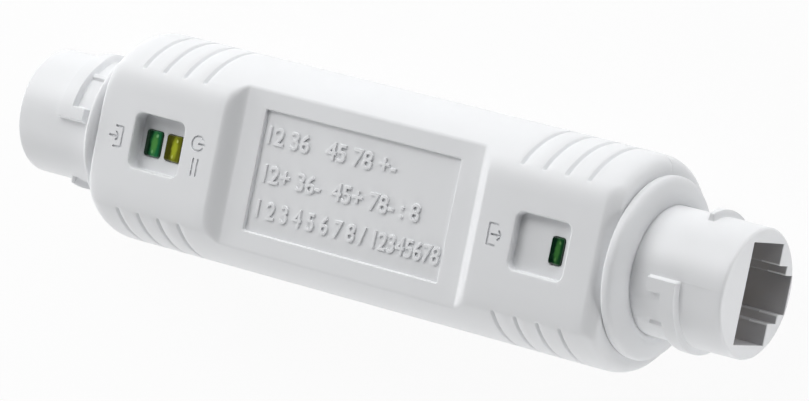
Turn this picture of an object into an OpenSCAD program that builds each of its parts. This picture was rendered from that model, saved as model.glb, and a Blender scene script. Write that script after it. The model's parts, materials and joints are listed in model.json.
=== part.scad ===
// Inline power-over-Ethernet unit for outdoor cable runs: a round white case with an RJ45 bayonet
// socket at each end. +X runs along the case to the output socket, +Z points out of the label side,
// and Z = 0 is the face of the back pads.

/* [Case] */
// Radius of the round case
body_r = 13; // [12.5:0.1:18]
// Half length of the case, middle to end face
body_half = 37.5; // [37:0.1:50]
// Height of the front pads over the collar
pad_over_collar = 2.45; // [2.4:0.05:3.2]
// How far the back pads reach past the sealing rings, so that the unit lies on its pads
pad_past_ring = 0.15; // [0.05:0.05:0.8]
// How far the waist lies below the pads
waist_step = 1.65; // [0.8:0.05:2]
// Half length of the waist
waist_half = 17.2; // [16.5:0.1:19]
// Length of the slope from the waist up to a pad
cove_len = 2.3; // [1:0.1:3]
// Wall of the case
wall = 2.2; // [1.6:0.1:2.6]
// Wall at each end of the case
end_wall = 3; // [2.6:0.1:3.6]
// Length of the rounding at each end of the case
end_round_len = 2.9; // [1:0.1:4]
// How far that rounding comes in from the side
end_round_depth = 2.4; // [1:0.1:2.8]
// Rounding at the outer end of each pad
pad_round = 1; // [0.4:0.1:1.2]
// Rounding inside the case, at its ends
inner_round = 0.6; // [0.2:0.1:0.8]

/* [Label panel and windows] */
// Length of the label panel
panel_len = 28.7; // [20:0.1:32]
// Width of the label panel
panel_w = 14.9; // [10:0.1:17]
// Depth of the label panel
panel_depth = 0.5; // [0.2:0.05:0.9]
// Distance of each window from the middle of the case
window_x = 28.2; // [27.8:0.1:30]
// Length of a window
window_len = 7.6; // [6.8:0.1:8.4]
// Width of a window
window_w = 6.9; // [5:0.1:8]
// Corner radius of a window
window_corner = 1; // [0.3:0.1:2]
// Depth of the input window
in_window_depth = 2.05; // [1:0.05:2.4]
// Depth of the output window
out_window_depth = 1.1; // [0.6:0.05:2.4]
// Floor under each window
window_floor = 1.2; // [0.8:0.1:1.6]
// Rim around each window, inside the case
window_rim = 1.2; // [0.8:0.1:1.5]

/* [Grip grooves] */
// Grooves in each row
groove_count = 4; // [1:1:4]
// Distance of the first groove from the middle of the case
groove_x = 23.28; // [21:0.1:24]
// Pitch of the grooves
groove_pitch = 3.125; // [2:0.1:3.4]
// Width of a groove
groove_w = 0.45; // [0.3:0.05:1]
// Depth of a groove
groove_depth = 0.35; // [0.2:0.05:0.7]
// Angle left bare between a groove's end and the pad
groove_gap = 4; // [1:0.5:10]

/* [Sockets] */
// Radius of the collar
collar_r = 7.8; // [7.7:0.1:9.4]
// How far the collar stands out of the case
collar_out = 14.3; // [14:0.1:18]
// How much slimmer the collar is in its sealing ring than at its nose
neck_relief = 0.05; // [0.03:0.01:0.1]
// Rounding at the collar's tip
tip_round = 0.25; // [0.1:0.05:0.5]
// Height of the bayonet ribs over the collar
lug_h = 0.8; // [0.4:0.1:1.2]
// Distance from the output collar's tip to the near side of its ribs
out_lug_from_tip = 5.6; // [4:0.1:7]
// Distance from the input collar's tip to the near side of its ribs
in_lug_from_tip = 6.4; // [4:0.1:7]
// Width of a rib
lug_w = 2.4; // [1.5:0.1:3]
// Arc of a rib
lug_arc = 114; // [60:1:140]
// Angle over which a rib narrows towards its end
taper_arc = 54; // [20:1:60]
// Width of a rib at its narrow end
lug_end_w = 1; // [0.6:0.1:2]
// Length of the bar that joins a rib's start, from the collar's tip side of the rib
bar_len = 4.3; // [3:0.1:5]
// Arc of that bar
bar_arc = 14.5; // [6:0.5:25]
// Angle from a rib's start to its detent bump
detent_at = 47; // [25:1:80]
// Height of the detent bump
detent_h = 0.35; // [0.2:0.05:0.6]
// Length of the detent bump along the collar
detent_len = 2; // [1:0.1:2]
// Width of the detent bump
detent_w = 1.1; // [0.6:0.1:2]
// Height of the flange that the case holds, over the collar
flange_h = 1.8; // [1.4:0.1:2.2]
// Thickness of that flange
flange_t = 1.5; // [1:0.1:2]
// Width of the ribs inside the case that hold the flange
keeper_w = 1.2; // [0.8:0.1:1.5]
// How far those ribs reach over the flange
keeper_lap = 1.1; // [0.6:0.1:1.2]

/* [RJ45 port] */
// Width of the plug's cavity
port_w = 11.95; // [11.7:0.05:12]
// Height of the plug's cavity
port_h = 6.77; // [6.6:0.01:6.8]
// Height of the contact side of the cavity above the axis
port_top = 2.97; // [2.8:0.01:3]
// Depth of the cavity, collar's tip to the core
port_depth = 13.3; // [12:0.1:13.5]
// Width of the step for the plug's latch
latch_w = 6.8; // [6:0.1:7.4]
// Depth of that step
latch_depth = 1.85; // [1.5:0.05:1.9]
// Width of the slot for the latch's lever
lever_w = 4.6; // [3.5:0.1:4.8]
// Depth of that slot
lever_depth = 1.5; // [0.5:0.05:1.5]
// Width of the core behind the contacts
core_w = 8.6; // [8.4:0.1:9]
// Height of the core above the contact side of the cavity
core_h = 2.35; // [2.2:0.05:2.4]
// Thickness of the wall between the contacts and the collar's tip
lip = 2.9; // [2:0.1:3.5]
// Thickness of the core's front part over the contacts
shelf_t = 1.8; // [1.4:0.1:1.85]
// Thickness of the core's stop behind the plug
stop_t = 1.5; // [1:0.1:2]
// Length of the core behind that stop
core_back = 3.5; // [3.2:0.1:3.8]

/* [Contacts] */
// Contacts in each port
contact_count = 8; // [8]
// Pitch of the contacts
contact_pitch = 1.016; // [1.016]
// Width of a contact wire
wire_w = 0.45; // [0.3:0.05:0.5]
// Thickness of a contact wire
wire_t = 0.3; // [0.2:0.05:0.35]
// Length of a contact's spring
spring_len = 7; // [5:0.1:7.6]
// Slope of a free spring
spring_slope = 16; // [12:1:18]
// Length of the turned-up end of a spring
toe_len = 1.2; // [0.6:0.1:1.5]
// Angle by which that end turns up
toe_turn = 40; // [10:1:45]
// Distance between the two rows of solder tails
tail_row = 1.4; // [1.2:0.1:1.6]
// Length of a solder tail under the board
tail_out = 0.8; // [0.4:0.1:1.2]
// Distance of the first row of tails from the core's back face
tail_edge = 0.8; // [0.6:0.1:1]
// How deep the contact wires lie in the core's top
wire_cover = 0.1; // [0.05:0.05:0.3]
// Gap between the core and a contact wire's nose
nose_gap = 0.36; // [0.2:0.01:0.5]

/* [Seals] */
// Width of the sealing ring on the collar
ring_w = 3.15; // [2:0.05:3.6]
// Thickness of the ring at its outer edge
ring_edge = 0.5; // [0.2:0.1:1]
// Thickness of the ring where it meets the collar
ring_t = 2.2; // [1.5:0.1:2.4]
// Rounding of the ring's outer edge
ring_round = 0.9; // [0.4:0.1:1]
// Thickness of the O-ring in the end wall
oring_d = 1.4; // [1:0.1:1.6]
// Width of the gasket in the seam
gasket_w = 0.9; // [0.6:0.1:1.1]
// Height of the gasket in the seam
gasket_h = 0.7; // [0.5:0.1:1]

/* [Board] */
// Thickness of the board
board_t = 1.6; // [1:0.1:1.6]
// Height of the board's top face above the axis
board_z = 0.4; // [0.2:0.1:0.5]
// Width of the board
board_w = 19.2; // [18:0.1:20]
// Gap on each side of the board's tongues inside the sockets
tongue_gap = 0.5; // [0.2:0.05:1]
// Distance of the transformers from the middle
transformer_x = 11.5; // [11.5:0.1:12]
// Length of a transformer
transformer_len = 9.6; // [8:0.1:9.6]
// Width of a transformer
transformer_w = 7; // [6:0.1:8]
// Height of a transformer
transformer_h = 4.8; // [3:0.1:5]
// Side of the switch chip
switch_side = 7; // [5:0.1:7]
// Height of the switch chip
switch_h = 1.4; // [0.8:0.1:1.6]
// Length of the power chip
power_chip_len = 4.9; // [4:0.1:6]
// Width of the power chip
power_chip_w = 3.9; // [3:0.1:4.5]
// Height of the power chip
power_chip_h = 1.5; // [1:0.1:1.8]
// Side of the power inductor's base
inductor_side = 7; // [5:0.1:7.5]
// Height of the power inductor
inductor_h = 4.2; // [2:0.1:5]
// Diameter of the power inductor's core
inductor_d = 6.4; // [4:0.1:6.8]
// Height of the power inductor's base
inductor_foot = 1; // [0.5:0.1:1.5]
// Diameter of an electrolytic capacitor
can_d = 6.3; // [4:0.1:6.3]
// Height of an electrolytic capacitor
can_h = 5.4; // [4:0.1:5.6]
// How far an electrolytic capacitor's base stands out all round
can_rim = 0.15; // [0.1:0.05:0.2]
// Height of an electrolytic capacitor's base
can_foot = 0.9; // [0.5:0.1:1.2]
// Distance of the capacitors and rectifiers from the middle
can_x = 13; // [12:0.1:14]
// Length of a bridge rectifier
bridge_len = 4.8; // [4:0.1:5]
// Width of a bridge rectifier
bridge_w = 3.9; // [3:0.1:4]
// Height of a bridge rectifier
bridge_h = 2.5; // [1.5:0.1:3]
// Length of the crystal's can
crystal_len = 5; // [3:0.1:6]
// Width of the crystal's can
crystal_w = 2.4; // [1.6:0.1:2.6]
// Height of the crystal's can
crystal_h = 1.1; // [0.6:0.1:2]
// Length of the chips' leads, foot and shoulder together
lead_reach = 1.1; // [0.8:0.1:1.2]
// Thickness of the chips' leads
lead_t = 0.15; // [0.1:0.05:0.2]
// Leads along each side of the switch chip: how many, and the width and height of one
switch_leads = [8, 0.3, 0.8]; // [0.2:0.1:8]
// Leads along each long side of a transformer: how many, and the width and height of one
transformer_leads = [8, 0.4, 1.2]; // [0.2:0.1:8]
// Leads along each long side of the power chip: how many, and the width and height of one
power_chip_leads = [4, 0.4, 0.8]; // [0.2:0.1:8]
// Leads at each end of a bridge rectifier: how many, and the width and height of one
bridge_leads = [2, 0.6, 0.8]; // [0.2:0.1:8]
// Gap under the bodies of the chips
chip_lift = 0.25; // [0.1:0.05:0.4]
// Gap between the small parts and the board's edge
edge_gap = 0.4; // [0.2:0.1:0.6]
// Gap left between neighbouring parts on the board
part_gap = 0.4; // [0.3:0.1:0.6]
// Size of a chip resistor: along the board, across it, and its height
resistor = [0.8, 1.6, 0.45]; // [0.3:0.05:2]
// Chip resistors in each row
resistor_count = 7; // [1:1:8]
// Pitch of the chip resistors
resistor_pitch = 1.8; // [1.2:0.1:1.9]
// Size of a chip capacitor: along the board, across it, and its height
ceramic = [1.25, 2, 0.9]; // [0.3:0.05:2]
// Chip capacitors in each row
ceramic_count = 5; // [1:1:6]
// Pitch of the chip capacitors
ceramic_pitch = 2.6; // [1.6:0.1:2.8]

/* [Lamps] */
// Distance of the outer lamps from the middle
lamp_x = 30.05; // [29.8:0.05:30.2]
// Distance between the two input lamps
lamp_pitch = 3.1; // [2.8:0.1:3.4]
// Length of an input lamp along the case
in_lamp_len = 2.45; // [1.6:0.05:2.5]
// Length of the output lamp along the case
out_lamp_len = 1.8; // [1.6:0.05:2.5]
// Width of a lamp
lamp_w = 3.05; // [2:0.05:4]
// Height of a lamp's lens body
lamp_h = 5.6; // [4:0.1:6]
// Corner radius of a lamp's lens body
lamp_corner = 0.3; // [0.1:0.05:0.5]
// How far a lamp's face stands out of the window floor
lamp_proud = 0.25; // [0:0.05:0.6]
// Side of a lamp's lead
lead_side = 0.5; // [0.4:0.05:0.6]
// Distance between a lamp's leads
lead_gap = 1.9; // [1.6:0.05:2.54]

/* [Screws] */
// Distance of the screws from the middle, along the case
screw_x = 22; // [21.6:0.1:22.2]
// Distance of the screws from the middle, across the case
screw_y = 4.6; // [4.4:0.1:6]
// Radius of a screw's shank
screw_r = 0.95; // [0.7:0.05:1.1]
// Length of a screw's shank
screw_len = 11.8; // [10:0.1:12.5]
// Radius of a screw's head
head_r = 1.65; // [1.4:0.05:1.7]
// Height of a screw's head
head_h = 1.2; // [0.8:0.1:1.5]
// Width of the cross in a screw's head
cross_w = 0.5; // [0.3:0.05:0.7]
// Room left past the end of a screw
screw_tip_gap = 0.6; // [0.3:0.1:1]
// Depth of a screw's hole, back pad to the seat of the head
head_seat = 3; // [2.2:0.1:3.2]
// Radius of a screw post
post_r = 2.1; // [1.8:0.1:2.3]

/* [Fit] */
// Clearance between a moulded piece and what it sits in
fit = 0.1; // [0.05:0.01:0.15]
// Clearance between small pieces that are soldered or laid in place
seat = 0.03; // [0.02:0.01:0.05]
// Clearance of the screws in the board
board_fit = 0.3; // [0.1:0.05:0.4]
// Smoothness of round faces
smooth = 96; // [48:4:160]
// Smoothness of small round faces
small = 32; // [16:4:48]

/* [Hidden] */
$fn = smooth;

// Everything is drawn about the case's axis and lifted so that the back pads lie on Z = 0
ring_r = collar_r + ring_w;
front_pad = collar_r + pad_over_collar;
back_pad = ring_r + pad_past_ring;
axis_z = back_pad;
front_waist = front_pad - waist_step;

// Reach of cuts that take all, overshoot of cuts, overlap of joined shapes, and depth of a rib's root
big = 4 * body_half;
over = 1;
lap = 0.1;
rib_root = 0.3;

// Places along the case, measured outwards from the middle
end_inner = body_half - end_wall;
flange_out = end_inner - fit;
flange_in = flange_out - flange_t;
keeper_out = flange_in - fit;
keeper_in = keeper_out - keeper_w;
tip_x = body_half + collar_out;
out_rib_front = tip_x - out_lug_from_tip;
in_rib_front = tip_x - in_lug_from_tip;
neck_r = collar_r - neck_relief;
neck_hole_r = neck_r + fit;
lug_r = collar_r + lug_h;
flange_r = collar_r + flange_h;
flange_top = front_pad - wall - fit;
flange_low = back_pad - wall - fit;

// Cavity of the port, seen along the case, and the core that closes it
port_bottom = port_top - port_h;
stop_x = tip_x - port_depth;
stop_back = stop_x - stop_t;
core_x = stop_back - core_back;
core_top = port_top + core_h;
shelf_z = core_top - shelf_t;
pocket_x = tip_x - lip;

// Contact wires
wire_run = core_top - wire_cover - seat - wire_t / 2;
nose_x = pocket_x - fit;
hinge_x = nose_x - wire_t / 2;
hinge_z = shelf_z - wire_t / 2 - seat;
shelf_x = nose_x - wire_t - nose_gap;
tail_x = core_x + tail_edge;
groove_side = wire_w / 2 + seat;

// Board and what stands on it
board_bottom = board_z - board_t;
board_half = keeper_in - fit;
tongue_half = stop_back - fit;
tongue_w = port_w - 2 * tongue_gap;
on_top = board_z + seat;
crystal_y = switch_side / 2 + lead_reach + part_gap + crystal_w / 2;
inductor_y = -inductor_side / 3;
power_chip_y = inductor_y + inductor_side / 2 + lead_reach + part_gap + power_chip_w / 2;
can_side = can_d + 2 * can_rim;
can_y = can_side / 2 - part_gap;
bridge_y = can_y - can_side / 2 - part_gap - bridge_w / 2;
in_floor = front_pad - in_window_depth;
out_floor = front_pad - out_window_depth;
post_in = board_bottom - seat;
post_out = board_z + seat;
head_z = head_seat - back_pad;
lead_y = lead_gap / 2;
lamps = [[-lamp_x, in_lamp_len, in_floor], [-lamp_x + lamp_pitch, in_lamp_len, in_floor],
         [lamp_x, out_lamp_len, out_floor]];
oring_x = end_inner + end_wall / 2;
oring_groove_r = neck_r + oring_d + fit;
seam_y = body_r - wall / 2;
seam_start = oring_groove_r + seat;

// ---------- helpers ----------

// Turns a solid that was made about +Z so that it lies about +X
module along_x() rotate([0, 90, 0]) children();

// Copies what stands at the output end to the input end, turned half round about Z
module at_input() rotate([0, 0, 180]) children();

// Part of a ring about X, with angles counted from +Z towards +Y
module arc_bar(r0, r1, x0, x1, from, to) {
    rotate([0, 90, 0])
        rotate([0, 0, 180 - to])
            rotate_extrude(angle = to - from)
                translate([r0, x0])
                    square([r1 - r0, x1 - x0]);
}

// Box given by its low and high corners
module span(low, high) translate(low) cube(high - low);

// Box centred in X and Y that stands on z
module slab(x, y, z, size) translate([x - size.x / 2, y - size.y / 2, z]) cube(size);

// Box with rounded corners, centred in X and Y, from z up
module rounded_slab(x, y, z, size, r) {
    translate([x, y, z])
        linear_extrude(size.z)
            union() {
                square([size.x - 2 * r, size.y], center = true);
                square([size.x, size.y - 2 * r], center = true);
                for (sx = [-1, 1], sy = [-1, 1])
                    translate([sx * (size.x / 2 - r), sy * (size.y / 2 - r)])
                        circle(r, $fn = small);
            }
}

// Smooth step from 0 to 1
function ease(t) = t * t * (3 - 2 * t);

// Radius of a round hole for a square lead
function pin_hole(side) = 0.75 * side + seat;

// ---------- form of the case ----------

// Side outline of one quarter, middle to end, as [x, height]
function side_line(half, pad, step, waist, cove, round_r) = concat(
    [[0, pad - step]],
    [for (t = [0 : 1 / 6 : 1]) [waist + cove * t, pad - step + step * ease(t)]],
    [for (a = [0 : 22.5 : 90]) [half - round_r + round_r * sin(a), pad - round_r + round_r * cos(a)]]
);

function mirrored(line) = [for (i = [len(line) - 1 : -1 : 0]) [-line[i].x, line[i].y]];
function upside_down(line) = [for (i = [len(line) - 1 : -1 : 0]) [line[i].x, -line[i].y]];

// Solid with the case's form, set in by a wall
module case_form(inset, half, round_len, round_depth, pad_edge) {
    r = body_r - inset;
    waist = waist_half + inset / 2;
    front = side_line(half, front_pad - inset, waist_step, waist, cove_len, pad_edge);
    back = side_line(half, back_pad - inset, waist_step, waist, cove_len, pad_edge);
    intersection() {
        along_x() rotate_extrude() polygon(concat(
            [[0, -half]],
            [for (a = [90 : -15 : 0])
                [r - round_depth * (1 - cos(a)), -(half - round_len * (1 - sin(a)))]],
            [for (a = [0 : 15 : 90])
                [r - round_depth * (1 - cos(a)), half - round_len * (1 - sin(a))]],
            [[0, half]]
        ));
        rotate([90, 0, 0])
            linear_extrude(big, center = true)
                polygon(concat(mirrored(front), front, upside_down(back),
                    [for (p = back) [-p.x, -p.y]]));
    }
}

module outer_form() case_form(0, body_half, end_round_len, end_round_depth, pad_round);
module inner_form() case_form(wall, end_inner, inner_round, inner_round, inner_round / 2);

// Grip grooves on one side, over the whole arc from the front pad to the back pad
module grip_grooves() {
    from = acos(front_pad / body_r) + groove_gap;
    to = 180 - acos(back_pad / body_r) - groove_gap;
    for (side = [0, 180], end = [-1, 1], k = [0 : groove_count - 1]) {
        x = end * (groove_x + k * groove_pitch);
        rotate([0, 0, side])
            arc_bar(body_r - groove_depth, body_r + over, x - groove_w / 2, x + groove_w / 2, from, to);
    }
}

// Screw posts at the four corners of the board
module at_screws() {
    for (x = [-screw_x, screw_x], y = [-screw_y, screw_y])
        translate([x, y, 0]) children();
}

// What both halves of the case leave free at each end: the neck's hole and the O-ring's groove
module end_holes() {
    for (side = [-1, 1]) {
        translate([side * (end_inner + end_wall / 2), 0, 0])
            along_x() cylinder(r = neck_hole_r, h = end_wall + 2 * over, center = true);
        translate([side * oring_x, 0, 0])
            along_x() cylinder(r = oring_groove_r, h = oring_d + 2 * fit, center = true);
    }
}

// Room for each socket's flange, which has two flats that stop it turning
module flange_room() {
    for (side = [-1, 1])
        scale([side, 1, 1])
            intersection() {
                translate([keeper_out, 0, 0])
                    along_x() cylinder(r = flange_r + fit, h = end_inner - keeper_out);
                span([0, -big, -flange_low - fit], [big, big, flange_top + fit]);
            }
}

// Ribs that hold each socket's flange from inside
module keepers() {
    for (side = [-1, 1])
        translate([side * (keeper_in + keeper_out) / 2, 0, 0])
            along_x() difference() {
                cylinder(r = body_r - wall / 2, h = keeper_w, center = true);
                cylinder(r = flange_r - keeper_lap, h = keeper_w + 2 * over, center = true);
            }
}

// ---------- pieces of the case ----------

module window_cut(x, depth) {
    rounded_slab(x, 0, front_pad - depth, [window_len, window_w, depth + over], window_corner);
}

module window_tub(x, depth) {
    size = [window_len + 2 * window_rim, window_w + 2 * window_rim, depth + window_floor - wall / 2];
    rounded_slab(x, 0, front_pad - depth - window_floor, size, window_corner);
}

module lamp_hole(x, len) slab(x, 0, 0, [len + 2 * fit, lamp_w + 2 * fit, front_pad]);

module front_shell() {
    color("whitesmoke")
        translate([0, 0, axis_z])
            difference() {
                union() {
                    difference() {
                        outer_form();
                        inner_form();
                    }
                    intersection() {
                        outer_form();
                        union() {
                            keepers();
                            window_tub(-window_x, in_window_depth);
                            window_tub(window_x, out_window_depth);
                            translate([0, 0, post_out])
                                at_screws() cylinder(r = post_r, h = front_pad - wall / 2);
                        }
                    }
                }
                span([-big, -big, -big], [big, big, 0]);
                end_holes();
                flange_room();
                grip_grooves();
                window_cut(-window_x, in_window_depth);
                window_cut(window_x, out_window_depth);
                lamp_hole(-lamp_x, in_lamp_len);
                lamp_hole(-lamp_x + lamp_pitch, in_lamp_len);
                lamp_hole(lamp_x, out_lamp_len);
                slab(0, 0, front_waist - panel_depth, [panel_len, panel_w, panel_depth + over]);
                translate([0, 0, head_z])
                    at_screws() cylinder(r = screw_r + seat, h = screw_len + screw_tip_gap);
            }
}

module back_shell() {
    color("whitesmoke")
        translate([0, 0, axis_z])
            difference() {
                union() {
                    difference() {
                        outer_form();
                        inner_form();
                    }
                    intersection() {
                        outer_form();
                        union() {
                            keepers();
                            translate([0, 0, -back_pad])
                                at_screws() cylinder(r = post_r, h = back_pad + post_in);
                        }
                    }
                }
                span([-big, -big, 0], [big, big, big]);
                end_holes();
                flange_room();
                grip_grooves();
                seam_path(gasket_w / 2 + seat, oring_groove_r - seat, -gasket_h - seat, over);
                translate([0, 0, -back_pad - over]) {
                    at_screws() cylinder(r = screw_r + fit, h = back_pad);
                    at_screws() cylinder(r = head_r + fit, h = head_seat + over);
                }
            }
}

// Band along the seam: both sides of the case, and across the end walls to the O-ring's groove
module seam_path(half_w, start, low, high) {
    side_in = seam_y - half_w;
    side_out = seam_y + half_w;
    for (side = [-1, 1])
        scale([1, side, 1])
            translate([0, 0, low])
                linear_extrude(high - low)
                    difference() {
                        translate([-oring_x - half_w, start])
                            square([2 * (oring_x + half_w), side_out - start]);
                        translate([-oring_x + half_w, 0])
                            square([2 * (oring_x - half_w), side_in]);
                    }
}

module seam_gasket() {
    color("dimgray") translate([0, 0, axis_z]) seam_path(gasket_w / 2, seam_start, -gasket_h, -seat);
}

module case_screws() {
    color("silver")
        translate([0, 0, axis_z + head_z])
            at_screws() difference() {
                union() {
                    cylinder(r = screw_r, h = screw_len);
                    translate([0, 0, -head_h]) cylinder(r = head_r, h = head_h - seat);
                    translate([0, 0, -head_h / 2]) cylinder(r = screw_r, h = head_h / 2);
                }
                for (turn = [0, 90])
                    rotate([0, 0, turn])
                        slab(0, 0, -head_h - over, [1.4 * head_r, cross_w, over + head_h / 2]);
            }
}

// ---------- sockets and seals ----------

// Section of the port's cavity: three steps, each given by its width, its depth and where it starts
module port_section() {
    for (step = [[port_w, port_h, 0], [latch_w, latch_depth, port_h],
                 [lever_w, lever_depth, port_h + latch_depth]])
        translate([-step[0] / 2, port_top - step[2] - step[1]])
            square([step[0], step[1]]);
}

// Extrudes a section drawn as [y, z] from x0 to x1
module run_along(x0, x1) {
    translate([x0, 0, 0])
        rotate([90, 0, 90])
            linear_extrude(x1 - x0)
                children();
}

// What is cut off a rib's back, so that it narrows towards its end
module rib_taper(back) {
    start_z = lug_r * cos(lug_arc - taper_arc);
    end_z = lug_r * cos(lug_arc);
    slope = (lug_w - lug_end_w) / (start_z - end_z);
    rotate([90, 0, 0])
        linear_extrude(lug_r + over)
            polygon([
                [back - over, start_z],
                [back, start_z],
                [back + slope * (start_z + lug_r), -lug_r],
                [back - over, -lug_r]
            ]);
}

// One bayonet rib with its bar and its detent bump, from angle 0 round towards -Y
module bayonet_rib(front) {
    root = collar_r - rib_root;
    back = front - lug_w;
    difference() {
        arc_bar(root, lug_r, back, front, -lug_arc, 0);
        rib_taper(back);
    }
    arc_bar(root, lug_r, front - bar_len, back + lap, -bar_arc, 0);
    rotate([detent_at, 0, 0])
        span([back - detent_len, -detent_w / 2, root],
             [back + lap, detent_w / 2, collar_r + detent_h]);
}

// Collar whose ribs start at rib_front, with the port's cavity through it
module socket(rib_front) {
    difference() {
        union() {
            along_x() rotate_extrude() polygon([
                [0, flange_in],
                [neck_r, flange_in],
                [neck_r, body_half + ring_t],
                [collar_r, rib_front],
                [collar_r, tip_x - tip_round],
                [collar_r - tip_round * (1 - cos(45)), tip_x - tip_round * (1 - sin(45))],
                [collar_r - tip_round, tip_x],
                [0, tip_x]
            ]);
            intersection() {
                translate([flange_in, 0, 0]) along_x() cylinder(r = flange_r, h = flange_t);
                span([flange_in - over, -big, -flange_low], [flange_out + over, big, flange_top]);
            }
            for (turn = [0, 180]) rotate([turn, 0, 0]) bayonet_rib(rib_front);
        }
        run_along(stop_x, tip_x + over) port_section();
        run_along(flange_in - over, stop_x + over)
            translate([-port_w / 2, port_bottom]) square([port_w, port_h]);
        span([flange_in - over, -core_w / 2 - fit, port_top - over],
             [pocket_x, core_w / 2 + fit, core_top + fit]);
    }
}

module out_socket() color("whitesmoke") translate([0, 0, axis_z]) socket(out_rib_front);
module in_socket() color("whitesmoke") translate([0, 0, axis_z]) at_input() socket(in_rib_front);

module seal_ring() {
    bore = neck_r + fit;
    low = body_half + seat;
    turn_x = body_half + ring_edge;
    along_x() rotate_extrude() polygon(concat(
        [[bore, low], [ring_r, low]],
        [for (a = [0 : 15 : 60])
            [ring_r - ring_round * (1 - cos(a)), turn_x + ring_round * sin(a)]],
        [[bore, body_half + ring_t]]
    ));
}

module out_seal_ring() color("gainsboro") translate([0, 0, axis_z]) seal_ring();
module in_seal_ring() color("gainsboro") translate([0, 0, axis_z]) at_input() seal_ring();

module neck_seal() {
    translate([oring_x, 0, 0])
        along_x() rotate_extrude()
            translate([neck_r + seat + oring_d / 2, 0]) circle(oring_d / 2, $fn = small);
}

module out_neck_seal() color("dimgray") translate([0, 0, axis_z]) neck_seal();
module in_neck_seal() color("dimgray") translate([0, 0, axis_z]) at_input() neck_seal();

// ---------- jacks ----------

function contact_y(k) = (k - (contact_count - 1) / 2) * contact_pitch;
function row_x(k) = tail_x + (k % 2) * tail_row;

module jack_core() {
    difference() {
        union() {
            span([stop_back, -port_w / 2 + fit, port_bottom + fit],
                 [stop_x - seat, port_w / 2 - fit, port_top - fit]);
            span([core_x, -core_w / 2, board_z + seat], [stop_x - seat, core_w / 2, core_top]);
            span([core_x, -core_w / 2, shelf_z], [shelf_x, core_w / 2, core_top]);
        }
        for (k = [0 : contact_count - 1]) {
            y = contact_y(k);
            span([row_x(k) - wire_t / 2 - seat, y - groove_side, wire_run - wire_t / 2 - seat],
                 [shelf_x + over, y + groove_side, core_top + over]);
            span([row_x(k) - wire_t / 2 - seat, y - groove_side, board_z - over],
                 [row_x(k) + wire_t / 2 + seat, y + groove_side, core_top]);
        }
    }
}

module out_jack_core() color("lightgray") translate([0, 0, axis_z]) jack_core();
module in_jack_core() color("lightgray") translate([0, 0, axis_z]) at_input() jack_core();

// Fixed part of each contact: tail through the board, run over the core, nose down to the spring
module contact_tails() {
    for (k = [0 : contact_count - 1])
        translate([0, contact_y(k), 0]) {
            span([row_x(k) - wire_t / 2, -wire_w / 2, board_bottom - tail_out],
                 [row_x(k) + wire_t / 2, wire_w / 2, wire_run + wire_t / 2]);
            span([row_x(k), -wire_w / 2, wire_run - wire_t / 2], [nose_x, wire_w / 2, wire_run + wire_t / 2]);
            span([nose_x - wire_t, -wire_w / 2, hinge_z + wire_t / 2 + seat],
                 [nose_x, wire_w / 2, wire_run + wire_t / 2]);
        }
}

module out_contact_tails() color("gold") translate([0, 0, axis_z]) contact_tails();
module in_contact_tails() color("gold") translate([0, 0, axis_z]) at_input() contact_tails();

// Strip of wire from the origin along -X, with round ends
module wire_leg(len) {
    for (x = [-len, 0])
        translate([x, 0, 0])
            rotate([90, 0, 0]) cylinder(r = wire_t / 2, h = wire_w, center = true, $fn = small);
    span([-len, -wire_w / 2, -wire_t / 2], [0, wire_w / 2, wire_t / 2]);
}

// Springs of one port, which bend up together when a plug goes in
module contact_springs() {
    for (k = [0 : contact_count - 1])
        translate([hinge_x, contact_y(k), hinge_z])
            rotate([0, -spring_slope, 0]) {
                wire_leg(spring_len);
                translate([-spring_len, 0, 0]) rotate([0, toe_turn, 0]) wire_leg(toe_len);
            }
}

module out_contacts() color("gold") translate([0, 0, axis_z]) contact_springs();
module in_contacts() color("gold") translate([0, 0, axis_z]) at_input() contact_springs();

// ---------- board and parts on it ----------

module main_board() {
    color("seagreen")
        translate([0, 0, axis_z])
            difference() {
                union() {
                    slab(0, 0, board_bottom, [2 * board_half, board_w, board_t]);
                    slab(0, 0, board_bottom, [2 * tongue_half, tongue_w, board_t]);
                }
                translate([0, 0, board_bottom - over]) {
                    at_screws() cylinder(r = screw_r + board_fit, h = board_t + 2 * over);
                    for (turn = [0, 180], k = [0 : contact_count - 1])
                        rotate([0, 0, turn])
                            translate([row_x(k), contact_y(k), 0])
                                cylinder(r = pin_hole(wire_w), h = board_t + 2 * over, $fn = small);
                    for (lamp = lamps, side = [-1, 1])
                        translate([lamp[0], side * lead_y, 0])
                            cylinder(r = pin_hole(lead_side), h = board_t + 2 * over, $fn = small);
                }
            }
}

// Turns what stands on the board's top face over to its underside
module under_board() translate([0, 0, board_bottom - seat]) mirror([0, 0, 1]) children();

// Body of a chip, lifted over the board by its leads
module chip_body(x, y, size) slab(x, y, chip_lift, [size.x, size.y, size.z - chip_lift]);

module transformer(x) {
    color("darkslategray")
        translate([x, 0, axis_z + on_top])
            chip_body(0, 0, [transformer_len, transformer_w, transformer_h]);
}

module in_transformer() transformer(-transformer_x);
module out_transformer() transformer(transformer_x);

module switch_chip() {
    color("black")
        translate([0, 0, axis_z + on_top]) chip_body(0, 0, [switch_side, switch_side, switch_h]);
}

module crystal() {
    color("lightsteelblue")
        translate([0, 0, axis_z])
            rounded_slab(0, crystal_y, on_top, [crystal_len, crystal_w, crystal_h], crystal_w / 4);
}

module power_chip() {
    color("black")
        translate([0, 0, axis_z])
            under_board() chip_body(0, power_chip_y, [power_chip_len, power_chip_w, power_chip_h]);
}

// Square foot with a round body on it
module round_part(x, y, foot, foot_h, d, h) {
    translate([0, 0, axis_z])
        under_board() {
            slab(x, y, 0, [foot, foot, foot_h]);
            translate([x, y, 0]) cylinder(d = d, h = h);
        }
}

module power_inductor() {
    color("dimgray") round_part(0, inductor_y, inductor_side, inductor_foot, inductor_d, inductor_h);
}

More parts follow.
